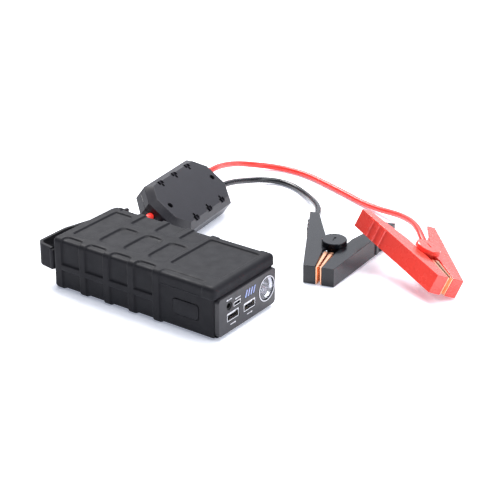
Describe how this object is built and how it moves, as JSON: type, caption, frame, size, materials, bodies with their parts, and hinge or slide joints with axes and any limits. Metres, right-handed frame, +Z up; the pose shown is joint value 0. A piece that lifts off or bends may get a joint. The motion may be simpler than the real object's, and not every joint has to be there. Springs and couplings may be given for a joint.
{
  "type": "jump starter",
  "caption": "Pocket jump starter with a rubber-armoured power pack, a smart-box lead and red and black battery clamps.",
  "frame": {"origin": "middle of the power pack's underside, on the floor", "axes": "+X towards the pack's port end, +Y towards the side with the high-current socket, +Z up"},
  "size_m": [0.2742, 0.2895, 0.0441],
  "materials": {
    "armour_rubber": "matt",
    "black_plastic": "fine grain",
    "grey_plastic": "satin",
    "steel": "plated",
    "chrome": "mirror",
    "clear_lens": "clear",
    "light_white": "milky",
    "board_green": "solder mask",
    "cell_silver": "foil pouch",
    "socket_blue": "moulded",
    "brass": "bright",
    "red_rubber": "satin",
    "black_rubber": "satin",
    "copper": "copper-plated",
    "black_plastic_gloss": "gloss",
    "red_plastic": "gloss"
  },
  "bodies": {
    "pack": {"armour_sleeve": "armour_rubber", "case_upper": "black_plastic", "case_lower": "black_plastic", "front_panel": "grey_plastic", "usb_port_near": "steel", "usb_port_far": "steel", "usb_tongue_near": "black_plastic", "usb_tongue_far": "black_plastic", "micro_usb_port": "steel", "charge_jack": "black_plastic", "charge_light_1": "light_white", "charge_light_2": "light_white", "charge_light_3": "light_white", "charge_light_4": "light_white", "torch_reflector": "chrome", "torch_lens": "clear_lens", "torch_led": "light_white", "switch_body": "black_plastic", "main_board": "board_green", "battery_cell_1": "cell_silver", "battery_cell_2": "cell_silver", "battery_cell_3": "cell_silver", "socket_contact_positive": "brass", "socket_contact_negative": "brass", "socket_housing": "socket_blue", "battery_wire_red": "red_rubber", "battery_wire_black": "black_rubber"},
    "button": {"power_button": "armour_rubber", "switch_plunger": "black_plastic"},
    "cover": {"socket_cover_strap": "armour_rubber"},
    "lead": {"plug_housing": "black_plastic", "plug_pin_positive": "brass", "plug_pin_negative": "brass", "input_lead_red": "red_rubber", "input_lead_black": "black_rubber", "box_cover": "black_plastic", "box_base": "black_plastic", "box_screw_1": "steel", "box_screw_2": "steel", "box_board": "board_green", "box_relay": "black_plastic", "gland_red": "black_rubber", "gland_black": "black_rubber", "red_cable": "red_rubber", "black_cable": "black_rubber", "black_clamp_cable_handle": "black_plastic_gloss", "black_clamp_cable_jaw": "copper", "black_clamp_pin": "steel", "black_clamp_cap": "black_plastic_gloss", "black_clamp_spring": "steel", "red_clamp_cable_handle": "red_plastic", "red_clamp_cable_jaw": "copper", "red_clamp_pin": "steel", "red_clamp_cap": "red_plastic", "red_clamp_spring": "steel"},
    "black_lever": {"black_clamp_squeeze_handle": "black_plastic_gloss", "black_clamp_squeeze_jaw": "copper"},
    "red_lever": {"red_clamp_squeeze_handle": "red_plastic", "red_clamp_squeeze_jaw": "copper"}
  },
  "joints": [
    {"name": "strap_hinge", "type": "hinge", "parent": "pack", "child": "cover", "pos_m": [-0.0774, -0.0342, 0.0242], "axis": [0, 0, 1], "range_deg": [0, 80]},
    {"name": "button_press", "type": "slide", "parent": "pack", "child": "button", "axis": [0, 1, 0], "range_m": [0, 0.0008], "stiffness_N_per_m": 600, "springref_m": -0.001},
    {"name": "lead_unplug", "type": "slide", "parent": "pack", "child": "lead", "axis": [0, 1, 0], "range_m": [0, 0.024]},
    {"name": "black_squeeze", "type": "hinge", "parent": "lead", "child": "black_lever", "pos_m": [0.07137, 0.11835, 0.0094], "axis": [0.0095, -0.0336, 0.9994], "range_deg": [0, 24], "stiffness_Nm_per_rad": 0.6, "springref_deg": -20.05, "deforming": ["black_clamp_spring"]},
    {"name": "red_squeeze", "type": "hinge", "parent": "lead", "child": "red_lever", "pos_m": [0.13911, 0.13357, 0.01716], "axis": [-0.3085, -0.2621, -0.9144], "range_deg": [0, 24], "stiffness_Nm_per_rad": 0.6, "springref_deg": -20.05, "deforming": ["red_clamp_spring"]}
  ]
}
